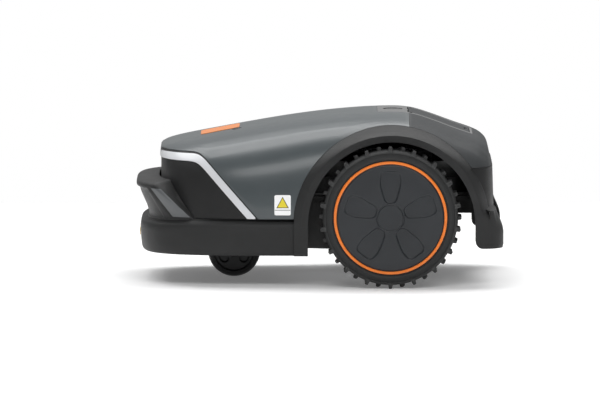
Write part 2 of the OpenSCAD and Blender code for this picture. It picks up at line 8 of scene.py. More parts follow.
import bmesh
import bpy
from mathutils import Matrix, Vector


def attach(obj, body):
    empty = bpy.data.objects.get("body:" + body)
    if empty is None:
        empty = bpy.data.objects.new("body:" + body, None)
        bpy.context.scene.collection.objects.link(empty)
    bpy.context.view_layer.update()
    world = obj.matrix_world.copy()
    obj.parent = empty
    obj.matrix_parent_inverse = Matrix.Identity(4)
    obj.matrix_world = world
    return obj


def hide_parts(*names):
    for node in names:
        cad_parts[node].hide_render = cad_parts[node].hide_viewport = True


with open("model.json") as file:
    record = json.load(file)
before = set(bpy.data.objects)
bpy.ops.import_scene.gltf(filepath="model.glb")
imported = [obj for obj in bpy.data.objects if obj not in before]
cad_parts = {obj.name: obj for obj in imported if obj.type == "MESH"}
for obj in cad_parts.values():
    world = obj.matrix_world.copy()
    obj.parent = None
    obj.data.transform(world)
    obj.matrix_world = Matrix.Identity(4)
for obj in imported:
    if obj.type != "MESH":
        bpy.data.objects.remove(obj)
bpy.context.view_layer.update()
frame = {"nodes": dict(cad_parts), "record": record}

nodes = frame["nodes"]
MM = 0.001

# ---------------------------------------------------------------- driving dimensions, in millimetres
NOSE_X = 306.0
TAIL_X = 334.0
FLANK_Y = 236.0
BASE_Z = 130.0
WALL = 3.0
SEAM = 0.4
ARCH = (-137.0, 118.0)
ARCH_IN = 159.0
ARCH_OUT = 187.0
LEG_X = 49.0
SKIRT_Z = 60.0
HOOD_END = -171.0
APRON_Z = 226.0
GUARD_Z = 74.0
GUARD_TOP = 146.0
GUARD_BEND = 112.0
GUARD_Y = 240.0
GUARD_R = 42.0
HALF_L = 350.0
STRIPE_DROP = 17.0
STRIPE_SHIFT = 6.0
# height of the black painted-shade strip under the hood's front edge; the light stripe starts below it
SHADE_RIM = 3.6
CREASES = (150.0, 176.0, 197.0)
CREST = (
    (-334, 199), (-331, 212), (-323, 252), (-316, 265), (-300, 276.5), (-255, 293), (-205, 311.5),
    (-175, 320), (-140, 323), (-60, 319.5), (50, 307.5), (150, 291), (230, 275.5), (285, 263.5),
    (300, 257.5), (306, 252),
)
FULLNESS = (
    (-334, 4.6), (-175, 3.9), (-20, 3.8), (90, 3.4), (190, 3.5), (255, 4.2), (306, 4.8),
)

AXLE_X = -134.5
AXLE_Z = 135.0
WHEEL_OUT = 265.0
WHEEL_W = 60.0
LUGS = 18
CASTER = (163.5, 50.0)


# ---------------------------------------------------------------- curves and surfaces
def clamp(value, low=0.0, high=1.0):
    return max(low, min(high, value))


def smooth(low, high, value):
    t = clamp((value - low) / (high - low))
    return t * t * (3 - 2 * t)


def mix(a, b, t):
    return a + (b - a) * t


def spaced(start, end, count):
    return [mix(start, end, i / (count - 1)) for i in range(count)]


def curve(knots, x):
    """Smooth curve through the knots, read at x."""
    def slope(i):
        a, b = knots[max(0, i - 1)], knots[min(len(knots) - 1, i + 1)]
        return (b[1] - a[1]) / (b[0] - a[0])

    i = max([0] + [j for j in range(len(knots) - 1) if knots[j][0] <= x])
    span = knots[i + 1][0] - knots[i][0]
    t = (x - knots[i][0]) / span
    ends = knots[i][1] * (1 + 2 * t) * (1 - t) ** 2 + knots[i + 1][1] * t * t * (3 - 2 * t)
    return ends + span * t * (1 - t) * (slope(i) * (1 - t) - slope(i + 1) * t)


def half_width(x, inset=0.0):
    reach, power = (NOSE_X - inset, 4) if x > 0 else (TAIL_X - inset, 8)
    return (FLANK_Y - inset) * max(0.0, 1 - (abs(x) / reach) ** power) ** (1 / power)


def soft_min(a, b, radius):
    return -radius * math.log(math.exp(-a / radius) + math.exp(-b / radius))


def hood_edge(x):
    """Height of the hood's lower front edge at x."""
    return min(soft_min(BASE_Z + (x - 116) * 1.135, 255.0, 6.0), curve(CREST, min(x, NOSE_X)) - 3.0)


def stripe_edge(x):
    """Height of the light stripe's lower edge at x."""
    slanted = BASE_Z - STRIPE_DROP + (x - 116 - STRIPE_SHIFT) * 1.135
    return soft_min(slanted, 255.0 - STRIPE_DROP, 6.0)


def arch_height(x, radius):
    return ARCH[1] + math.sqrt(max(0.0, radius ** 2 - (x - ARCH[0]) ** 2))


def flank(x, z, inset=0.0):
    """Half width of the cover at x and height z."""
    rise = max(curve(CREST, x) - BASE_Z - inset, 60.0)
    power = curve(FULLNESS, x)
    level = clamp((z - BASE_Z) / rise, 0.0, 0.9999)
    return half_width(x, inset) * (1 - level ** power) ** (1 / power)


def roof(x, y):
    """Height of the cover at x and y, with its soft lengthwise creases."""
    rise = curve(CREST, x) - BASE_Z
    width = max(half_width(x), 1.0)
    power = curve(FULLNESS, x)
    return BASE_Z + rise * max(0.0, 1 - min(1.0, abs(y) / width) ** power) ** (1 / power)


def creased(x, y, levels):
    """Height of the roof where the stretches between the creases are nearly flat."""
    full = roof(x, y)
    for a, b in zip(levels, levels[1:]):
        if a <= abs(y) <= b:
            t = (abs(y) - a) / max(b - a, 0.01)
            chord = mix(roof(x, a), roof(x, b), t)
            return mix(full, chord, 0.85)
    return full


def cover_row(x, edge, flank_rows=30, top_rows=22):
    """Points across the cover at x, from the left lower edge over the top to the right one."""
    rise = curve(CREST, x) - BASE_Z
    width = half_width(x)
    power = curve(FULLNESS, x)
    edge_t = math.asin(clamp((edge - BASE_Z) / rise, 0.0, 0.99999) ** (power / 2))
    edge_y = width * math.cos(edge_t) ** (2 / power)
    scale = min(1.0, width / 212.0)
    levels = [min(c * scale, edge_y * share) for c, share in zip(CREASES, (0.82, 0.90, 0.96))]
    last_t = math.acos(clamp(levels[2] / width) ** (power / 2))
    side = []
    for t in spaced(edge_t, last_t, flank_rows):
        side.append((width * math.cos(t) ** (2 / power), BASE_Z + rise * math.sin(t) ** (2 / power)))
    for start, end, count in ((levels[2], levels[1], 5), (levels[1], levels[0], 5)):
        side += [(y, creased(x, y, levels)) for y in spaced(start, end, count)[1:]]
    side += [(y, roof(x, y)) for y in spaced(levels[0], 0.0, top_rows)[1:]]
    left = [(x, y, z) for y, z in side]
    return left + [(px, -y, z) for px, y, z in reversed(left[:-1])]


# ---------------------------------------------------------------- mesh building
def grid(rows, closed=False, ends=False):
    """Vertices and faces of a net of rows; closed joins each row's ends, ends caps the net."""
    count = len(rows[0])
    verts = [tuple(c * MM for c in p) for row in rows for p in row]
    faces = []
    for i in range(len(rows) - 1):
        for j in range(count if closed else count - 1):
            a, b = i * count + j, i * count + (j + 1) % count
            faces.append((a, b, b + count, a + count))
    if ends:
        faces.append(tuple(range(count))[::-1])
        faces.append(tuple(range(len(verts) - count, len(verts))))
    return verts, faces


def merged(*nets):
    verts, faces = [], []
    for net_verts, net_faces in nets:
        faces += [tuple(v + len(verts) for v in face) for face in net_faces]
        verts += net_verts
    return verts, faces


def mirrored(net):
    return [(x, -y, z) for x, y, z in net[0]], [face[::-1] for face in net[1]]


def revolve(profile, centre, axis="y", side=1, steps=96, sweep=360):
    """Net from turning (radius, height) pairs about an axis; heights run along +axis times side."""
    rows = []
    full = sweep == 360
    for i in range(steps if full else steps + 1):
        a = math.radians(sweep * i / steps)
        row = []
        for r, h in profile:
            u, v = r * math.cos(a), r * math.sin(a)
            if axis == "y":
                row.append((centre[0] + u, centre[1] + side * h, centre[2] + v))
            else:
                row.append((centre[0] + u, centre[1] + v, centre[2] + side * h))
        rows.append(row)
    if full:
        rows.append(rows[0])
    return grid(rows)


def build(name, net, slot, body, stands_for=(), facing=None, weld=0.00002, sharp=35):
    """Make a piece from a net, turned so that its faces point away from the facing point."""
    mesh = bpy.data.meshes.new(name)
    mesh.from_pydata(net[0], [], net[1])
    bm = bmesh.new()
    bm.from_mesh(mesh)
    bmesh.ops.remove_doubles(bm, verts=bm.verts, dist=weld)
    bmesh.ops.dissolve_degenerate(bm, dist=weld / 2, edges=bm.edges)
    if facing is None:
        bmesh.ops.recalc_face_normals(bm, faces=bm.faces)
    else:
        centre = Vector(facing) * MM
        outward = sum(f.normal.dot(f.calc_center_median() - centre) * f.calc_area() for f in bm.faces)
        if outward < 0:
            bmesh.ops.reverse_faces(bm, faces=bm.faces)
    bm.to_mesh(mesh)
    bm.free()
    piece = bpy.data.objects.new(name, mesh)
    bpy.context.scene.collection.objects.link(piece)
    mesh.materials.append(MATERIALS[slot])
    mesh.shade_smooth()
    mesh.set_sharp_from_angle(angle=math.radians(sharp))
    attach(piece, body)
    if stands_for:
        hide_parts(*stands_for)
    return piece


def thicken(piece, depth=WALL):
    mod = piece.modifiers.new("wall", "SOLIDIFY")
    mod.thickness = depth * MM
    mod.offset = -1
    mod.use_even_offset = False


def round_edges(piece, width=0.7, segments=3, angle=42):
    mod = piece.modifiers.new("edges", "BEVEL")
    mod.width = width * MM
    mod.segments = segments
    mod.limit_method = "ANGLE"
    mod.angle_limit = math.radians(angle)
    mod.harden_normals = True


def apply_all(piece):
    """Replace the piece's mesh with its evaluated one."""
    graph = bpy.context.evaluated_depsgraph_get()
    mesh = bpy.data.meshes.new_from_object(piece.evaluated_get(graph), depsgraph=graph)
    piece.modifiers.clear()
    piece.data = mesh


def prism(outline, axis, low, high):
    """Closed prism of an outline in the two other axes, from low to high along the axis."""
    rows = []
    for level in (low, high):
        if axis == "z":
            rows.append([(u, v, level) for u, v in outline])
        else:
            rows.append([(u, level, v) for u, v in outline])
    return grid(rows, closed=True, ends=True)


def carve(piece, net, operation="DIFFERENCE"):
    """Cut the piece with a prism, or keep only what lies inside it."""
    mesh = bpy.data.meshes.new("tool")
    mesh.from_pydata(net[0], [], net[1])
    bm = bmesh.new()
    bm.from_mesh(mesh)
    bmesh.ops.recalc_face_normals(bm, faces=bm.faces)
    bm.to_mesh(mesh)
    bm.free()
    tool = bpy.data.objects.new("tool", mesh)
    bpy.context.scene.collection.objects.link(tool)
    mod = piece.modifiers.new("cut", "BOOLEAN")
    mod.operation = operation
    mod.solver = "MANIFOLD"
    mod.object = tool
    bpy.context.view_layer.update()
    apply_all(piece)
    bpy.data.objects.remove(tool)
    piece.data.shade_smooth()
    piece.data.set_sharp_from_angle(angle=math.radians(35))


def rounded(cx, cy, length, width, radius, steps=8):
    """Outline of a rounded rectangle."""
    points = []
    corners = ((1, 1, 0), (-1, 1, 90), (-1, -1, 180), (1, -1, 270))
    for sx, sy, start in corners:
        for k in range(steps + 1):
            a = math.radians(start + 90 * k / steps)
            points.append((
                cx + sx * (length / 2 - radius) + radius * math.cos(a),
                cy + sy * (width / 2 - radius) + radius * math.sin(a),
            ))
    return points


def circle(cx, cy, radius, steps=48):
    turn = 2 * math.pi / steps
    return [(cx + radius * math.cos(turn * k), cy + radius * math.sin(turn * k)) for k in range(steps)]


# ---------------------------------------------------------------- materials
def node(tree, kind, **values):
    made = tree.nodes.new(kind)
    for key, value in values.items():
        if key in made.inputs:
            made.inputs[key].default_value = value
        else:
            setattr(made, key, value)
    return made


def material(slot, color, rough, metal=0.0, coat=0.0, grain=(900.0, 0.12), mottle=0.10, wear=0.12,
             stretch=(1.0, 1.0, 1.0), cells=False, glow=0.0, shine=0.5):
    """Procedural finish: mottled colour, fine surface grain, uneven gloss and paler worn edges."""
    made = bpy.data.materials.new(slot)
    made.use_nodes = True
    tree = made.node_tree
    shader = tree.nodes["Principled BSDF"]
    link = tree.links.new
    place = node(tree, "ShaderNodeTexCoord")
    scaled = node(tree, "ShaderNodeMapping", Scale=stretch)
    link(place.outputs["Object"], scaled.inputs["Vector"])

    clouds = node(tree, "ShaderNodeTexNoise", Scale=14.0, Detail=4.0, Roughness=0.6)
    link(scaled.outputs["Vector"], clouds.inputs["Vector"])
    shades = node(tree, "ShaderNodeValToRGB")
    dark = [c * (1 - mottle) for c in color]
    light = [min(1.0, c * (1 + mottle)) for c in color]
    shades.color_ramp.elements[0].position = 0.3
    shades.color_ramp.elements[0].color = (*dark, 1)
    shades.color_ramp.elements[1].position = 0.7
    shades.color_ramp.elements[1].color = (*light, 1)
    link(clouds.outputs["Fac"], shades.inputs["Fac"])

    shape = node(tree, "ShaderNodeNewGeometry")
    rim = node(tree, "ShaderNodeMapRange")
    rim.inputs["From Min"].default_value = 0.52
    rim.inputs["From Max"].default_value = 0.62
    rim.inputs["To Max"].default_value = wear
    link(shape.outputs["Pointiness"], rim.inputs["Value"])
    worn = node(tree, "ShaderNodeMix", data_type="RGBA")
    link(rim.outputs["Result"], worn.inputs["Factor"])
    link(shades.outputs["Color"], worn.inputs["A"])
    pale = [mix(c, 0.5, 0.35) for c in color]
    worn.inputs[7].default_value = (*pale, 1)
    link(shades.outputs["Color"], worn.inputs[6])
    link(worn.outputs[2], shader.inputs["Base Color"])

    if cells:
        fine = node(tree, "ShaderNodeTexVoronoi", Scale=grain[0])
        fine_out = fine.outputs["Distance"]
    else:
        fine = node(tree, "ShaderNodeTexNoise", Scale=grain[0], Detail=3.0)
        fine_out = fine.outputs["Fac"]
    link(scaled.outputs["Vector"], fine.inputs["Vector"])
    bump = node(tree, "ShaderNodeBump", Strength=grain[1], Distance=0.0006)
    link(fine_out, bump.inputs["Height"])
    link(bump.outputs["Normal"], shader.inputs["Normal"])

    gloss = node(tree, "ShaderNodeMapRange")
    gloss.inputs["To Min"].default_value = max(0.03, rough - 0.06)
    gloss.inputs["To Max"].default_value = min(1.0, rough + 0.06)
    haze = node(tree, "ShaderNodeTexNoise", Scale=45.0, Detail=5.0)
    link(scaled.outputs["Vector"], haze.inputs["Vector"])
    link(haze.outputs["Fac"], gloss.inputs["Value"])
    link(gloss.outputs["Result"], shader.inputs["Roughness"])

    shader.inputs["Metallic"].default_value = metal
    shader.inputs["Specular IOR Level"].default_value = shine
    shader.inputs["Coat Weight"].default_value = coat
    shader.inputs["Coat Roughness"].default_value = 0.12
    # glow adds an even white emission; on the floor paper it brightens the backdrop, on the white label it
    # is painted light
    if glow:
        shader.inputs["Emission Color"].default_value = (1, 1, 1, 1)
        shader.inputs["Emission Strength"].default_value = glow
    return made


BRUSHED = dict(metal=1.0, grain=(500.0, 0.10), stretch=(1.0, 1.0, 14.0), wear=0.3)
MOULDED = dict(grain=(2600.0, 0.22), cells=True, shine=0.3)
FINISHES = {
    "hood_paint": dict(color=(0.064, 0.076, 0.081), rough=0.33, coat=0.12, grain=(700.0, 0.03), mottle=0.04),
    # rear_plastic's darker grey is painted shade: the rear cover has the hood's grey and is shaded on its
    # slope; its matter, less shiny finish is its own
    "rear_plastic": dict(color=(0.052, 0.055, 0.057), rough=0.5, shine=0.12, grain=(700.0, 0.04),
                         mottle=0.05),
    "trim_plastic": dict(color=(0.021, 0.0213, 0.0215), rough=0.5, **MOULDED),
    "inlay_plastic": dict(color=(0.095, 0.101, 0.105), rough=0.32, coat=0.1, grain=(700.0, 0.05),
                          mottle=0.05),
    "black_plastic": dict(color=(0.014, 0.014, 0.0143), rough=0.45, **MOULDED),
    "light_diffuser": dict(color=(0.56, 0.57, 0.59), rough=0.30, coat=0.3, grain=(400.0, 0.03), mottle=0.02,
                           wear=0.0, glow=0.10),
    "gloss_black": dict(color=(0.010, 0.010, 0.011), rough=0.12, coat=0.6, grain=(500.0, 0.01), wear=0.04),
    "tray_plastic": dict(color=(0.030, 0.030, 0.032), rough=0.58, **MOULDED),
    "badge_orange": dict(color=(0.86, 0.24, 0.02), rough=0.36, coat=0.3, grain=(800.0, 0.04), mottle=0.04),
    # the label's glow is painted light: the white sticker gives off light to look brighter, though it is no
    # lamp
    "label_white": dict(color=(0.86, 0.86, 0.86), rough=0.42, grain=(1500.0, 0.05), mottle=0.02, wear=0.0,
                        glow=0.12),
    "label_yellow": dict(color=(0.86, 0.70, 0.04), rough=0.4, grain=(1500.0, 0.05), mottle=0.03),
    "steel": dict(color=(0.56, 0.57, 0.59), rough=0.32, **BRUSHED),
    "contact_brass": dict(color=(0.78, 0.58, 0.26), rough=0.28, **BRUSHED),
    "button_plastic": dict(color=(0.018, 0.018, 0.019), rough=0.34, coat=0.3, grain=(900.0, 0.05)),
    "key_plastic": dict(color=(0.13, 0.13, 0.135), rough=0.5, **MOULDED),
    "post_rubber": dict(color=(0.020, 0.020, 0.020), rough=0.75, grain=(1200.0, 0.2)),
    "tub_plastic": dict(color=(0.002, 0.0021, 0.0022), rough=0.5, **MOULDED),
    "lid_plastic": dict(color=(0.002, 0.0021, 0.0022), rough=0.5, **MOULDED),
    "seal_rubber": dict(color=(0.020, 0.020, 0.020), rough=0.7, grain=(1200.0, 0.2)),
    "battery_case": dict(color=(0.035, 0.036, 0.042), rough=0.48, **MOULDED),
    "board_green": dict(color=(0.015, 0.110, 0.045), rough=0.35, grain=(420.0, 0.3), cells=True,
                         mottle=0.25),
    "motor_metal": dict(color=(0.30, 0.31, 0.32), rough=0.4, metal=0.8, grain=(700.0, 0.08)),
    "bearing_steel": dict(color=(0.60, 0.60, 0.62), rough=0.22, **BRUSHED),
    "bush_plastic": dict(color=(0.66, 0.66, 0.64), rough=0.42, grain=(900.0, 0.06)),
    "drum_plastic": dict(color=(0.55, 0.15, 0.03), rough=0.45, grain=(900.0, 0.1)),
    "deck_plastic": dict(color=(0.050, 0.051, 0.053), rough=0.5, **MOULDED),
    "disc_steel": dict(color=(0.50, 0.51, 0.52), rough=0.30, **BRUSHED),
    "knife_steel": dict(color=(0.64, 0.65, 0.67), rough=0.22, **BRUSHED),
    "fork_plastic": dict(color=(0.008, 0.008, 0.009), rough=0.5, **MOULDED),
    "caster_rubber": dict(color=(0.003, 0.0032, 0.0035), rough=0.5, grain=(1500.0, 0.2)),
    "caster_hub_plastic": dict(color=(0.0035, 0.004, 0.005), rough=0.4, grain=(1800.0, 0.12)),
    "tyre_rubber": dict(color=(0.01, 0.0106, 0.0108), rough=0.7, grain=(1400.0, 0.35), mottle=0.18,
                         wear=0.3),
    "rim_plastic": dict(color=(0.003, 0.003, 0.0033), rough=0.5, **MOULDED),
    "ring_orange": dict(color=(0.88, 0.20, 0.012), rough=0.36, coat=0.3, grain=(900.0, 0.04), mottle=0.05),
    "wheel_cover_plastic": dict(color=(0.018, 0.0205, 0.024), rough=0.42, grain=(2400.0, 0.14), cells=True),
}
MATERIALS = {name: material(name, **finish) for name, finish in FINISHES.items()}
SLOT_OF = {row["node"]: row["material_slot"] for row in frame["record"]["subparts"]}


def finish_cad_nodes():
    """Give every carried-over CAD node its procedural finish."""
    for name, obj in nodes.items():
        finish = MATERIALS[SLOT_OF[name]]
        if not obj.material_slots:
            obj.data.materials.append(finish)
        for holder in obj.material_slots:
            holder.link = "OBJECT"
            holder.material = finish


# ---------------------------------------------------------------- cover
CONSOLE = (-293.0, -111.0, 75.0)
FLAP = (-287.0, -171.0, 60.0)
BUTTON_X = -141.0
SENSOR = (158.0, 60.0)
SENSOR_R = 9.0
BODY_CENTRE = (0, 0, 110)


def console_outline(gap):
    length = CONSOLE[1] - CONSOLE[0] + 2 * gap
    return rounded((CONSOLE[0] + CONSOLE[1]) / 2, 0, length, 2 * (CONSOLE[2] + gap), 14 + gap)


def hood():
    low_angle = math.asin((BASE_Z - ARCH[1]) / ARCH_OUT)
    high_angle = math.acos((HOOD_END + SEAM / 2 - ARCH[0]) / ARCH_OUT)
    xs = [ARCH[0] + ARCH_OUT * math.cos(a) for a in spaced(high_angle, low_angle, 64)]
    xs += spaced(xs[-1], 116, 16)[1:] + spaced(116, 250, 52)[1:]
    xs += [mix(250, 303.2, math.sin(math.pi / 2 * k / 26)) for k in range(1, 27)]
    rows = []
    for x in xs:
        if x < LEG_X:
            edge = arch_height(x, ARCH_OUT)
        else:
            edge = max(BASE_Z + 0.3, hood_edge(x)) if x > 116 else BASE_Z + 0.3
        rows.append(cover_row(x, edge))
    piece = build("hood_panel", grid(rows), "hood_paint", "cover", ["hood_shell"], BODY_CENTRE)
    thicken(piece)
    carve(piece, prism(console_outline(SEAM), "z", 240, 400))
    carve(piece, prism(circle(*SENSOR, SENSOR_R + 0.4), "z", 240, 400))
    round_edges(piece, 0.8)


def rear_cover():
    start = HOOD_END - SEAM / 2
    meet = ARCH[0] - math.sqrt((ARCH_OUT + SEAM) ** 2 - (APRON_Z - ARCH[1]) ** 2)
    xs = spaced(start, meet, 46) + [mix(meet, -328.6, math.sin(math.pi / 2 * k / 34)) for k in range(1, 35)]
    rows = [cover_row(x, max(arch_height(x, ARCH_OUT), APRON_Z + SEAM) if x > meet else APRON_Z + SEAM)
            for x in xs]
    piece = build("rear_cover_panel", grid(rows), "rear_plastic", "cover", ["rear_cover"], BODY_CENTRE)
    thicken(piece)
    carve(piece, prism(console_outline(SEAM), "z", 240, 400))
    round_edges(piece, 0.8)


def guard_width(x):
    """Half width of the mudguards at x: straight, then rounded at the rear corner."""
    past = max(0.0, -x - (HALF_L - GUARD_R))
    return GUARD_Y - GUARD_R + math.sqrt(max(0.0, GUARD_R ** 2 - past ** 2))


def flare(x, z):
    """Half width of the trims' proud inner half, which runs out into the mudguard at the rear."""
    return mix(half_width(x) + 5.0, guard_width(x), smooth(215, 150, z) if x < -200 else 0.0)


def trim_point(x, z, share):
    """Point of an arch trim: upright at its inner half, sloping to the cover at its outer half."""
    proud = flare(x, z)
    sunk = min(proud, flank(x, z) - 0.2)
    slope = clamp((share - 0.46) / 0.54)
    slope *= smooth(130, 158, z) if x < -200 else mix(0.15, 1.0, smooth(105, 150, z))
    return (x, mix(proud, sunk, slope ** 1.15), z)


def trim_rows():
    rows = []
    path = [("leg", z) for z in spaced(SKIRT_Z, ARCH[1], 14)]
    path += [("arc", a) for a in spaced(0, 180, 110)[1:]]
    path += [("guard", t) for t in spaced(0, 1, 12)[1:]]
    for kind, value in path:
        row = []
        for share in spaced(0, 1, 25):
            radius = mix(ARCH_IN, ARCH_OUT - SEAM, share)
            if kind == "leg":
                x, z = ARCH[0] + radius, value
            elif kind == "arc":
                x = ARCH[0] + radius * math.cos(math.radians(value))
                z = ARCH[1] + radius * math.sin(math.radians(value))
            else:
                x = ARCH[0] - radius
                z = mix(ARCH[1], guard_foot(x), value)
            row.append(trim_point(min(x, LEG_X - SEAM), z, share))
        first, last = row[0], row[-1]
        inner = [(first[0], first[1] - d, first[2]) for d in (14, 9, 4)]
        outer = [(last[0], last[1] - d, last[2]) for d in (1.2, 3.2)]
        if kind == "guard":
            outer = []
        rows.append(inner + row + (outer or [last, last]))
    return rows


def guard_foot(x):
    """Lower edge of a mudguard, rounded off at its front corner."""
    corner = 15.0
    inside = clamp((ARCH[0] - ARCH_IN - x) / corner)
    return GUARD_Z + corner * (1 - math.sqrt(1 - (1 - inside) ** 2))


def guard_rows():
    """Rear corner and rear face of a mudguard, leaning in above the bend."""
    rows = []
    start = -HALF_L + GUARD_R
    first = math.degrees(math.asin((ARCH_OUT - SEAM + start - ARCH[0]) / GUARD_R))
    for z in spaced(GUARD_Z, GUARD_TOP, 24):
        lean = 14.0 * smooth(GUARD_BEND - 8, GUARD_TOP + 4, z) + 1.5 * smooth(GUARD_Z + 7, GUARD_Z, z)
        row = []
        for degrees in spaced(first, 90, 18):
            a = math.radians(degrees)
            held = smooth(first, 62, degrees)
            row.append((start - (GUARD_R - lean * held) * math.sin(a),
                        GUARD_Y - GUARD_R + GUARD_R * math.cos(a), z))
        row += [(-HALF_L + lean, y, z) for y in spaced(GUARD_Y - GUARD_R, 151, 6)[1:]]
        rows.append(row)
    top = rows[-1]
    for share in (0.04, 0.15, 0.35, 0.6, 0.8, 1.0):
        rows.append([toward_wall(point, share) for point in top])
    return rows[::-1]


def toward_wall(point, share):
    """Point of a mudguard's closed top, a share of the way in to the cover's rear wall."""
    x, y, z = point
    aim_x, aim_y = -240.0, min(y, 120.0)
    low, high = 0.0, 1.0
    for _ in range(24):
        middle = (low + high) / 2
        u, v = mix(x, aim_x, middle), mix(y, aim_y, middle)
        if (u / (TAIL_X - 1.6)) ** 8 + (v / (FLANK_Y - 1.6)) ** 8 > 1:
            low = middle
        else:
            high = middle
    reach = middle * share
    return (mix(x, aim_x, reach), mix(y, aim_y, reach), z + 5.0 * share)


def arch_trims():
    net = merged(grid(trim_rows()), grid(guard_rows()))
    for side, shape, facing in (("left", net, (0, -400, 118)), ("right", mirrored(net), (0, 400, 118))):
        piece = build(f"arch_trim_panel_{side}", shape, "trim_plastic", "cover",
                      [f"arch_trim_{side}"], facing)
        thicken(piece, 2.4)
        round_edges(piece, 0.8)


def front_angle(x, inset=0.0):
    """Plan angle at which the rounded front reaches x on the flank."""
    return math.degrees(math.asin(clamp((x / (NOSE_X - inset)) ** 2)))


def plan_angles(first, count, power=1.6):
    """Angles from the left flank round the nose to the right one, closer together at the flanks."""
    out = []
    for i in range(2 * count + 1):
        k = abs(i / count - 1)
        out.append(90 + math.copysign((90 - first) * (1 - (1 - k) ** power), i - count))
    return out


def front_wall(angle, z, inset):
    """Point of the front's upright wall at a plan angle and height."""
    a = math.radians(angle)
    x = (NOSE_X - inset) * math.sin(a) ** 0.5
    width = (FLANK_Y - inset) * math.copysign(abs(math.cos(a)) ** 0.5, math.cos(a))
    fullness = curve(FULLNESS, x)
    level = clamp((z - BASE_Z) / (curve(CREST, min(x, 285.0)) - BASE_Z))
    return (x, width * (1 - level ** fullness) ** (1 / fullness), z)


def painted_shade_rim():
    """Dark strip under the hood's lower front edge, above the light stripe: painted shade for the shaded
    edge return and gap there.
    """
    rows = []
    for angle in plan_angles(front_angle(119.0, 2.4), 70):
        x = (NOSE_X - 2.4) * math.sin(math.radians(angle)) ** 0.5
        high = min(hood_edge(x), 254.6) + 1.0
        rows.append([front_wall(angle, z, 2.4) for z in spaced(high, max(high - SHADE_RIM - 1.4, BASE_Z), 6)])
    # the black plastic here is painted shade: the strip stands for the shadowed gap under the hood's edge
    piece = build("hood_edge_painted_shade", grid(rows), "black_plastic", "cover", (), BODY_CENTRE)
    thicken(piece, 1.2)


def light_stripe():
    rows = []
    for angle in plan_angles(front_angle(122.0, 1.0), 70):
        x = (NOSE_X - 1.0) * math.sin(math.radians(angle)) ** 0.5
        high = min(hood_edge(x), 254.6) - SHADE_RIM
        low = max(BASE_Z + SEAM, stripe_edge(x))
        rows.append([front_wall(angle, z, 1.2) for z in spaced(high, min(low, high - 0.5), 9)])
    piece = build("light_stripe_lens", grid(rows), "light_diffuser", "cover", ["light_stripe"], BODY_CENTRE)
    thicken(piece, 2.4)
    round_edges(piece, 0.6)


def front_visor():
    rows = []
    for angle in plan_angles(front_angle(139.5, 3.0), 64):
        x = (NOSE_X - 3.0) * math.sin(math.radians(angle)) ** 0.5
        high = stripe_edge(x) - SEAM
        rows.append([front_wall(angle, z, 3.2) for z in spaced(max(high, BASE_Z + 1), BASE_Z + SEAM, 16)])
    piece = build("front_visor_panel", grid(rows), "black_plastic", "cover", ["front_visor"], BODY_CENTRE)
    thicken(piece, 2.6)
    round_edges(piece, 0.5)


def crown(x):
    return clamp((x - 246) / 60)


def bumper_profile(x):
    """Wall of the bumper at plan distance x, from its foot to its inner top edge, as (inset, height)."""
    c = crown(x)
    points = [
        (15, SKIRT_Z), (11, SKIRT_Z + 4), (9.2, SKIRT_Z + 14), (8.4, 84), (8.0, 98), (8.1, 108),
        (8.3 + c, 114), (9.4 + 2.5 * c, 119 - c), (15.0 + 4.5 * c, 125.2 - 2.5 * c),
        (18.4 + 2.6 * c, 127.3 - 2.8 * c), (18.8 - 1.3 * c, 127.8 + 8 * c),
        (19 - 5.5 * c, 128.0 + 20 * c), (19 - 15 * c, 128.2 + 41.8 * c), (19 - 18 * c, 128.6 + 53 * c),
        (19 - 19 * c, 128.8 + 58 * c), (20 - 18 * c, 129.2 + 63 * c), (22 - 10 * c, 129.4 + 66.5 * c),
        (24 + 19.5 * c, 129.6 + 70.4 * c),
    ]
    fine = []
    for i in range(len(points) - 1):
        for k in range(3):
            fine.append(catmull(points, i, k / 3))
    fine.append(points[-1])
    return fine


def catmull(points, i, t):
    p = [points[clamp_index(i + k, len(points))] for k in (-1, 0, 1, 2)]
    out = []
    for a, b, c, d in zip(*p):
        out.append(b + 0.5 * t * (c - a + t * (2 * a - 5 * b + 4 * c - d + t * (3 * (b - c) + d - a))))
    return tuple(out)


def clamp_index(i, count):
    return max(0, min(count - 1, i))


def bumper_point(angle, inset, z):
    a = math.radians(angle)
    x = (HALF_L - inset) * math.sin(a) ** 0.5
    y = (FLANK_Y + 8 - inset) * math.copysign(abs(math.cos(a)) ** 0.5, math.cos(a))
    return (x, y, z)


def rim_line(z):
    """Distance ahead of the origin of the line where the crown's front recess meets its rim."""
    return mix(294, 333, (z - 126) / 64)


def groove_line(z):
    """Distance ahead of the origin of the line between the crown's rim and its satin panel."""
    return mix(277, 319, (z - 128) / 54)


def held_out(x, y, z):
    """Point moved out to the inner face of the cover's wall where it would reach further in."""
    reach = (x / (NOSE_X - WALL)) ** 4 + (y / (FLANK_Y - WALL)) ** 4
    if z < BASE_Z or reach >= 1:
        return (x, y, z)
    grow = reach ** -0.25
    return (x * grow, y * grow, z)


def bumper():
    rows = []
    end = LEG_X - 3.0
    first = math.degrees(math.asin((end / HALF_L) ** 2))
    for angle in plan_angles(first, 120, 1.7):
        x = bumper_point(angle, 10, 0)[0]
        row = []
        for inset, z in bumper_profile(x):
            px = bumper_point(angle, inset, z)[0]
            face = smooth(0, 4, px - rim_line(z)) * smooth(125, 129, z) * smooth(184, 180, z)
            groove = smooth(3, 1, abs(px - groove_line(z) - 2)) * smooth(128, 130, z) * smooth(187, 184, z)
            px, py, pz = bumper_point(angle, inset + 5.0 * face + 1.6 * groove, z)
            row.append(held_out(max(px, end), py, pz))
        rows.append(row)
    piece = build("bumper_shell", grid(rows), "trim_plastic", "cover", ["front_bumper"], (0, 0, 110))
    thicken(piece, 3.0)
    round_edges(piece, 0.9)


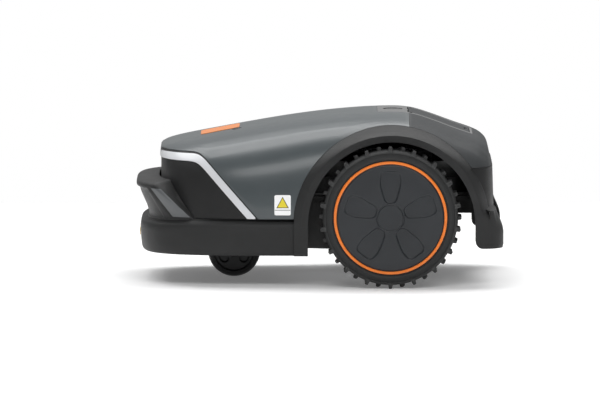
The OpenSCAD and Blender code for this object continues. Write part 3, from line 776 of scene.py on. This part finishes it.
def bumper_inlays():
    nets = []
    for side in (1, -1):
        rows = []
        for share in spaced(0, 1, 30):
            row = []
            for t in spaced(0, 1, 20):
                z = mix(131.0, 184.5, t)
                back = mix(243, 303, (z - 128.8) / 57.8)
                row.append(inlay_point(mix(groove_line(z) - 1, back, share), z, side))
            rows.append(row)
        nets.append(grid(rows))
    piece = build("bumper_inlay_panels", merged(*nets), "inlay_plastic", "cover", ["bumper_inlays"],
                  (0, 0, 110))
    thicken(piece, 1.0)
    round_edges(piece, 0.4)


def inlay_point(x, z, side):
    """Point on the crown's outer wall at x and z, found by walking round the plan."""
    low, high = 2.0, 80.0
    for _ in range(40):
        middle = (low + high) / 2
        inset = inset_at(bumper_profile(bumper_point(middle, 10, 0)[0]), z)
        if bumper_point(middle, inset, z)[0] < x:
            low = middle
        else:
            high = middle
    px, py, pz = bumper_point(middle, inset - 0.9, z)
    return (px, side * py, pz)


def inset_at(profile, z):
    best = profile[-1][0]
    for (i0, z0), (i1, z1) in zip(profile, profile[1:]):
        if z0 <= z <= z1:
            best = mix(i0, i1, (z - z0) / max(z1 - z0, 1e-6))
    return best


def rear_wall(angle, z, inset):
    a = math.radians(angle)
    lean = max(0.0, (z - 137.0) * 0.03)
    x = -(TAIL_X - inset - lean) * math.sin(a) ** 0.25
    y = (FLANK_Y - inset) * math.copysign(abs(math.cos(a)) ** 0.25, math.cos(a))
    level = clamp((z - BASE_Z) / 193.0)
    return (x, y * (1 - level ** 4.6) ** (1 / 4.6), z)


def rear_apron():
    start = -ARCH[0] + math.sqrt(ARCH_OUT ** 2 - (APRON_Z - ARCH[1]) ** 2)
    first = math.degrees(math.asin((start / (TAIL_X - 1)) ** 4))
    rows = []
    for angle in plan_angles(first, 60, 1.5):
        x, y, _ = rear_wall(angle, 150, 1.2)
        if abs(y) < 149:
            low = 90.0
        else:
            low = max(GUARD_TOP + SEAM, arch_height(x, ARCH_OUT) + SEAM if x > -323 else 0)
        rows.append([rear_wall(angle, z, 1.2) for z in spaced(min(low, APRON_Z - 1), APRON_Z - SEAM, 20)])
    piece = build("rear_apron_panel", grid(rows), "black_plastic", "cover", ["rear_apron"], BODY_CENTRE)
    thicken(piece)
    round_edges(piece, 0.7)


def roof_patch(name, x0, x1, half_y, slot, body, stands_for, lift=0.0, depth=WALL, y_mid=0.0):
    """Piece of the roof's surface over a rectangle, ready to be cut to its outline."""
    rows = []
    for x in spaced(x0, x1, 60):
        rows.append([(x, y, roof(x, y) + lift) for y in spaced(y_mid - half_y, y_mid + half_y, 50)])
    piece = build(name, grid(rows), slot, body, stands_for, BODY_CENTRE)
    thicken(piece, depth)
    return piece


def console():
    piece = roof_patch("console_top", CONSOLE[0] - 2, CONSOLE[1] + 2, CONSOLE[2] + 2, "gloss_black",
                       "cover", ["console_panel"])
    carve(piece, prism(console_outline(0), "z", 240, 400), "INTERSECT")
    middle = (FLAP[0] + FLAP[1]) / 2
    opening = rounded(middle + 0.6, 0, FLAP[1] - FLAP[0] + 3.2, 2 * FLAP[2] + 2, 6)
    carve(piece, prism(opening, "z", 200, 400))
    carve(piece, prism(circle(BUTTON_X, 0, 19), "z", 200, 400))
    round_edges(piece, 0.7)

    lid = roof_patch("display_flap_lid", FLAP[0] - 2, FLAP[1] + 2, FLAP[2] + 2, "rear_plastic",
                     "display_flap", ["display_flap"])
    outline = rounded(middle, 0, FLAP[1] - FLAP[0], 2 * FLAP[2], 5)
    carve(lid, prism(outline, "z", 200, 400), "INTERSECT")
    grip = rounded(FLAP[0] + 4, 0, 12, 34, 5.5)
    carve(lid, prism(grip, "z", roof(FLAP[0] + 6, 0) - 1.1, 400))
    for y in (-54, 54):
        carve(lid, prism(rounded(-172, y, 12, 9.2, 0.5, 2), "z", 200, 400))
    round_edges(lid, 0.6)
    knuckles = []
    for y in (-46, 34):
        knuckles.append(revolve([(1.55, 0), (2.3, 0), (2.4, 0.2), (2.4, 11.8), (2.3, 12), (1.55, 12)],
                                (-173.5, y, 318.0), steps=32))
        knuckles.append(prism([(-181, 315.8), (-175, 315.8), (-175, 318.6), (-181, 317.2)], "y", y, y + 12))
    build("flap_knuckles", merged(*knuckles), "rear_plastic", "display_flap")


def button_and_keys():
    ring = [(0, 322.9), (5, 322.9), (5.6, 322.5), (6.4, 322.5), (7, 322.9), (12.5, 322.8), (15.4, 322.1),
            (16.6, 320.9), (17, 319.1), (17, 307), (16, 306), (0, 306)]
    build("stop_button_cap", revolve(ring, (BUTTON_X, 0, 0), "z"), "button_plastic", "stop_button",
          ["stop_button"])
    collar = [(17.6, 321.2), (18.9, 321.2), (18.9, 316), (17.6, 316), (17.6, 321.2)]
    build("stop_button_collar", revolve(collar, (BUTTON_X, 0, 0), "z"), "black_plastic", "cover")
    cap = [(0, 271.4), (3.5, 271.6), (5.2, 272), (5.9, 271.7), (6.2, 271), (6.2, 259.5), (8, 259.5),
           (8, 258), (0, 258)]
    for i, y in enumerate((-34, 0, 34)):
        build(f"key_cap_{i + 1}", revolve(cap, (-262, y, 0), "z", steps=48), "key_plastic",
              f"key_{i + 1}", [f"key_{i + 1}"])


def display_screen():
    glass = prism(rounded(-219, 0, 54, 82, 4), "z", 278.02, 279.4)
    piece = build("display_glass", glass, "gloss_black", "cover")
    round_edges(piece, 0.4)


def badge():
    piece = roof_patch("badge_top", 150, 230, 50, "badge_orange", "cover", ["badge_plate"], 0.9, 0.9)
    carve(piece, prism(rounded(190, 0, 74, 92, 10), "z", 240, 400), "INTERSECT")
    round_edges(piece, 0.4)


def rain_sensor():
    shape = ((0, 290.4), (0.45, 290.2), (0.78, 289.4), (0.94, 288.2), (1, 286.6), (1, 281), (0, 281))
    dome = [(SENSOR_R * r, z) for r, z in shape]
    build("rain_sensor_dome", revolve(dome, (*SENSOR, 0), "z", steps=48), "black_plastic", "cover",
          ["rain_sensor"])


def flank_patch(name, outline, slot, side, lift, depth, stands_for=()):
    """Thin plate on the hood's flank, cut to an outline seen from the side."""
    rows = []
    for x in spaced(50, 90, 20):
        rows.append([(x, side * (flank(x, z) + lift), z) for z in spaced(134, 180, 24)])
    piece = build(name, grid(rows), slot, "cover", stands_for, BODY_CENTRE)
    thicken(piece, depth)
    low, high = (100, 300) if side > 0 else (-300, -100)
    carve(piece, prism(outline, "y", low, high), "INTERSECT")
    return piece


def side_labels():
    for side, word in ((1, "left"), (-1, "right")):
        nodes_here = ["side_labels"] if side > 0 else []
        plate = flank_patch(f"label_{word}", rounded(70, 157, 31, 38.5, 3), "label_white", side, 0.32, 0.3,
                            nodes_here)
        round_edges(plate, 0.08, 2)
        outer = [(58.2, 151.5), (81.8, 151.5), (70, 173.0)]
        inner = [(60.4, 152.8), (79.6, 152.8), (70, 170.4)]
        flank_patch(f"label_triangle_edge_{word}", outer, "black_plastic", side, 0.35, 0.1)
        flank_patch(f"label_triangle_{word}", inner, "label_yellow", side, 0.38, 0.1)
        flank_patch(f"label_band_{word}", rounded(70, 147.6, 30, 1.2, 0.5), "key_plastic", side, 0.35, 0.1)


# ---------------------------------------------------------------- wheels
def tyre_carcass():
    w = WHEEL_W
    return [
        (110, -w + 3), (112, -w + 1), (118, -w), (122, -w + 0.6), (126, -w + 4), (128, -w + 9),
        (128.5, -w + 16), (128.5, -16), (128, -9), (126.4, -4.4), (124.4, -2.0), (122.5, -1.0),
        (121.8, -1.6),
        (121.2, -1.0), (116, -0.2), (112.6, -0.4), (110.8, -1.6), (110, -4), (110, -w + 3),
    ]


def lug(angle, middle, length, slant, side):
    """One tapered knob with rounded top edges, as a net of closed rings from foot to top."""
    rings = []
    levels = ((124.5, 1.35, 1.0), (130.5, 1.0, 0.97), (133.8, 0.86, 0.93), (134.7, 0.72, 0.88),
              (135.0, 0.50, 0.82))
    for radius, wide, long in levels:
        ring = []
        for u, v in rounded(0, 0, length * long, 7.4 * wide, 1.6 * wide, 3):
            around = v + slant * u
            a = angle + around / radius
            ring.append((AXLE_X + radius * math.cos(a), side * (WHEEL_OUT + middle + u),
                         AXLE_Z + radius * math.sin(a)))
        rings.append(ring)
    return grid(rings, closed=True, ends=True)


def drive_wheel(side, word):
    hub = (AXLE_X, side * WHEEL_OUT, AXLE_Z)
    inside = (AXLE_X, side * (WHEEL_OUT - 30), AXLE_Z)
    nets = [revolve(tyre_carcass(), hub, side=side, steps=180)]
    step = 2 * math.pi / LUGS
    for row, (middle, length, slant) in enumerate(((-9.5, 15, 0.0), (-30, 22, 0.16), (-50.5, 15, 0.0))):
        for i in range(LUGS):
            nets.append(lug(step * (i + 0.5 * (row % 2)) + math.pi / 2, middle, length, slant, side))
    build(f"tyre_tread_{word}", merged(*nets), "tyre_rubber", f"{word}_wheel", [f"tyre_{word}"])

    band = [(102.3, -5.5), (102.3, -2.0), (102.8, -1.3), (104, -1.0), (106, -1.0), (107.1, -1.3),
            (107.6, -2.0), (107.6, -5.5), (102.3, -5.5)]
    build(f"accent_ring_{word}", revolve(band, hub, side=side, steps=160), "ring_orange", f"{word}_wheel",
          [f"wheel_ring_{word}"])
    build(f"wheel_disc_{word}", wheel_disc(side), "wheel_cover_plastic", f"{word}_wheel",
          [f"wheel_cover_{word}"], inside, sharp=50)


def petal_distance(radius, angle):
    """Distance in millimetres into the nearest petal recess, negative outside it."""
    turn = math.radians(72)
    a = (angle - math.pi / 2 + turn / 2) % turn - turn / 2
    u, v = radius * math.cos(a), abs(radius * math.sin(a))
    half = curve(((20, 7.5), (30, 11), (48, 16.6), (66, 20.5), (80, 19.5), (95, 15)), clamp(u, 20, 95))
    corner = 8.0
    du = max(27.0 + corner - u, u - (89.0 - corner))
    dv = v - (half - corner)
    outside = math.hypot(max(du, 0), max(dv, 0))
    return corner - (outside + min(max(du, dv), 0))


def disc_height(radius, angle):
    dish = -1.6 + 1.2 * smooth(100, 60, radius) - 0.6 * smooth(60, 10, radius)
    recess = 3.4 * smooth(-0.4, 2.4, petal_distance(radius, angle))
    lip = 1.6 * smooth(98.5, 101.5, radius)
    groove = 1.3 * smooth(2.2, 0.5, abs(radius - 25.5))
    cap = 0.5 * smooth(24.5, 23.0, radius) + 0.35 * smooth(18, 0, radius)
    return dish - recess - lip - groove + cap - 0.3


def wheel_disc(side, spokes=440):
    radii = spaced(0.01, 22, 8) + spaced(22.6, 29, 12) + spaced(29.8, 90.5, 76) + spaced(91.5, 98, 5)
    radii += spaced(98.6, 101.8, 6)
    rows = []
    for i in range(spokes):
        angle = 2 * math.pi * i / spokes
        row = []
        for r in radii:
            h = disc_height(r, angle)
            row.append((AXLE_X + r * math.cos(angle), side * (WHEEL_OUT + h), AXLE_Z + r * math.sin(angle)))
        r = radii[-1]
        row.append((AXLE_X + r * math.cos(angle), side * (WHEEL_OUT - 6.8), AXLE_Z + r * math.sin(angle)))
        rows.append(row)
    rows.append(rows[0])
    return grid(rows)


def caster():
    hub = (CASTER[0], 0, CASTER[1])
    tread = [(38, -14.6), (40, -15.6), (42.5, -15.2)]
    turns = [math.radians(d) for d in range(-72, 73, 8)]
    tread += [(40 + 10 * math.cos(a), 16 * math.sin(a)) for a in turns]
    tread += [(42.5, 15.2), (40, 15.6), (38, 14.6), (38, -14.6)]
    build("caster_tread", revolve(tread, hub, steps=120), "caster_rubber", "caster_wheel", ["caster_tyre"])
    rows = []
    radii = spaced(4.1, 9.6, 4) + spaced(10.2, 12, 3) + spaced(12.6, 36, 26) + [37.2, 37.9]
    for i in range(145):
        angle = 2 * math.pi * i / 144
        face = []
        for r in radii:
            turn = 2 * math.pi / 3
            a = (angle - math.pi / 2 + turn / 2) % turn - turn / 2
            near = 9.0 - math.hypot(r * math.cos(a) - 23, r * math.sin(a) / 1.25)
            h = 18 * smooth(11.4, 10.2, r) + 14.2 * smooth(10.2, 11.4, r)
            h -= 2.6 * smooth(-0.3, 1.2, near) + 1.2 * smooth(36, 38, r)
            face.append((r, h))
        profile = face + [(r, -h) for r, h in reversed(face)] + [face[0]]
        rows.append([(hub[0] + r * math.cos(angle), h, hub[2] + r * math.sin(angle)) for r, h in profile])
    build("caster_disc", grid(rows), "caster_hub_plastic", "caster_wheel", ["caster_hub"], sharp=50)


# ---------------------------------------------------------------- scene
def studio():
    floor_net = ([(-2.4, -1.6, 0), (2.4, -1.6, 0), (2.4, 2.6, 0), (-2.4, 2.6, 0)], [(0, 1, 2, 3)])
    mesh = bpy.data.meshes.new("studio_floor")
    mesh.from_pydata(floor_net[0], [], floor_net[1])
    floor = bpy.data.objects.new("studio_floor", mesh)
    bpy.context.scene.collection.objects.link(floor)
    paper = material("paper", (0.92, 0.92, 0.92), 0.95, grain=(300.0, 0.02), mottle=0.01,
                     wear=0.0, glow=0.14)
    mesh.materials.append(paper)

    world = bpy.data.worlds.new("studio")
    bpy.context.scene.world = world
    world.use_nodes = True
    tree = world.node_tree
    tree.nodes["Background"].inputs["Strength"].default_value = 1.0
    place = node(tree, "ShaderNodeTexCoord")
    split = node(tree, "ShaderNodeSeparateXYZ")
    ramp = node(tree, "ShaderNodeValToRGB")
    ramp.color_ramp.elements[0].position = 0.1
    ramp.color_ramp.elements[0].color = (0.12, 0.122, 0.125, 1)
    ramp.color_ramp.elements[1].position = 0.7
    ramp.color_ramp.elements[1].color = (0.62, 0.62, 0.62, 1)
    behind = node(tree, "ShaderNodeMath", operation="MULTIPLY_ADD")
    behind.inputs[1].default_value = -0.4
    above = node(tree, "ShaderNodeMath", operation="MULTIPLY")
    above.inputs[1].default_value = 0.5
    path = node(tree, "ShaderNodeLightPath")
    choose = node(tree, "ShaderNodeMix", data_type="RGBA")
    tree.links.new(place.outputs["Generated"], split.inputs["Vector"])
    tree.links.new(split.outputs["Z"], above.inputs[0])
    tree.links.new(split.outputs["Y"], behind.inputs[0])
    tree.links.new(above.outputs[0], behind.inputs[2])
    tree.links.new(behind.outputs[0], ramp.inputs["Fac"])
    tree.links.new(path.outputs["Is Camera Ray"], choose.inputs["Factor"])
    tree.links.new(ramp.outputs["Color"], choose.inputs[6])
    choose.inputs[7].default_value = (1, 1, 1, 1)
    tree.links.new(choose.outputs[2], tree.nodes["Background"].inputs["Color"])

    lamp("sky_box", (0.1, -0.7, 2.4), (0, 0, 0.1), (4.4, 1.8), 80)
    lamp("side_box", (-0.4, 3.1, 2.5), (0, 0, 0.2), (3.0, 1.2), 60)
    lamp("front_box", (3.4, 0.8, 1.5), (0, 0, 0.2), (1.6, 1.4), 4)
    lamp("back_box", (-3.2, -2.4, 2.2), (0, 0, 0.2), (2.0, 1.6), 6)


def lamp(name, place, target, size, power):
    data = bpy.data.lights.new(name, "AREA")
    data.shape = "RECTANGLE"
    data.size, data.size_y = size
    data.energy = power
    obj = bpy.data.objects.new(name, data)
    obj.location = place
    aim = Vector(target) - Vector(place)
    obj.rotation_euler = aim.to_track_quat("-Z", "Y").to_euler()
    bpy.context.scene.collection.objects.link(obj)


def camera():
    bpy.context.scene.view_settings.view_transform = "Standard"
    distance, view_width, elevation = 20.0, 1.152, math.radians(5)
    target = Vector((0.037, 0.0, 0.1464))
    data = bpy.data.cameras.new("camera")
    data.sensor_width = 36
    data.lens = 36 * distance / view_width
    data.clip_end = 60
    obj = bpy.data.objects.new("camera", data)
    obj.location = target + distance * Vector((0, math.cos(elevation), math.sin(elevation)))
    obj.rotation_euler = (target - obj.location).to_track_quat("-Z", "Y").to_euler()
    bpy.context.scene.collection.objects.link(obj)
    bpy.context.scene.camera = obj



finish_cad_nodes()
hood()
rear_cover()
arch_trims()
painted_shade_rim()
light_stripe()
front_visor()
bumper()
bumper_inlays()
rear_apron()
console()
button_and_keys()
display_screen()
badge()
rain_sensor()
side_labels()
for wheel_side, wheel_word in ((1, "left"), (-1, "right")):
    drive_wheel(wheel_side, wheel_word)
caster()
studio()
camera()
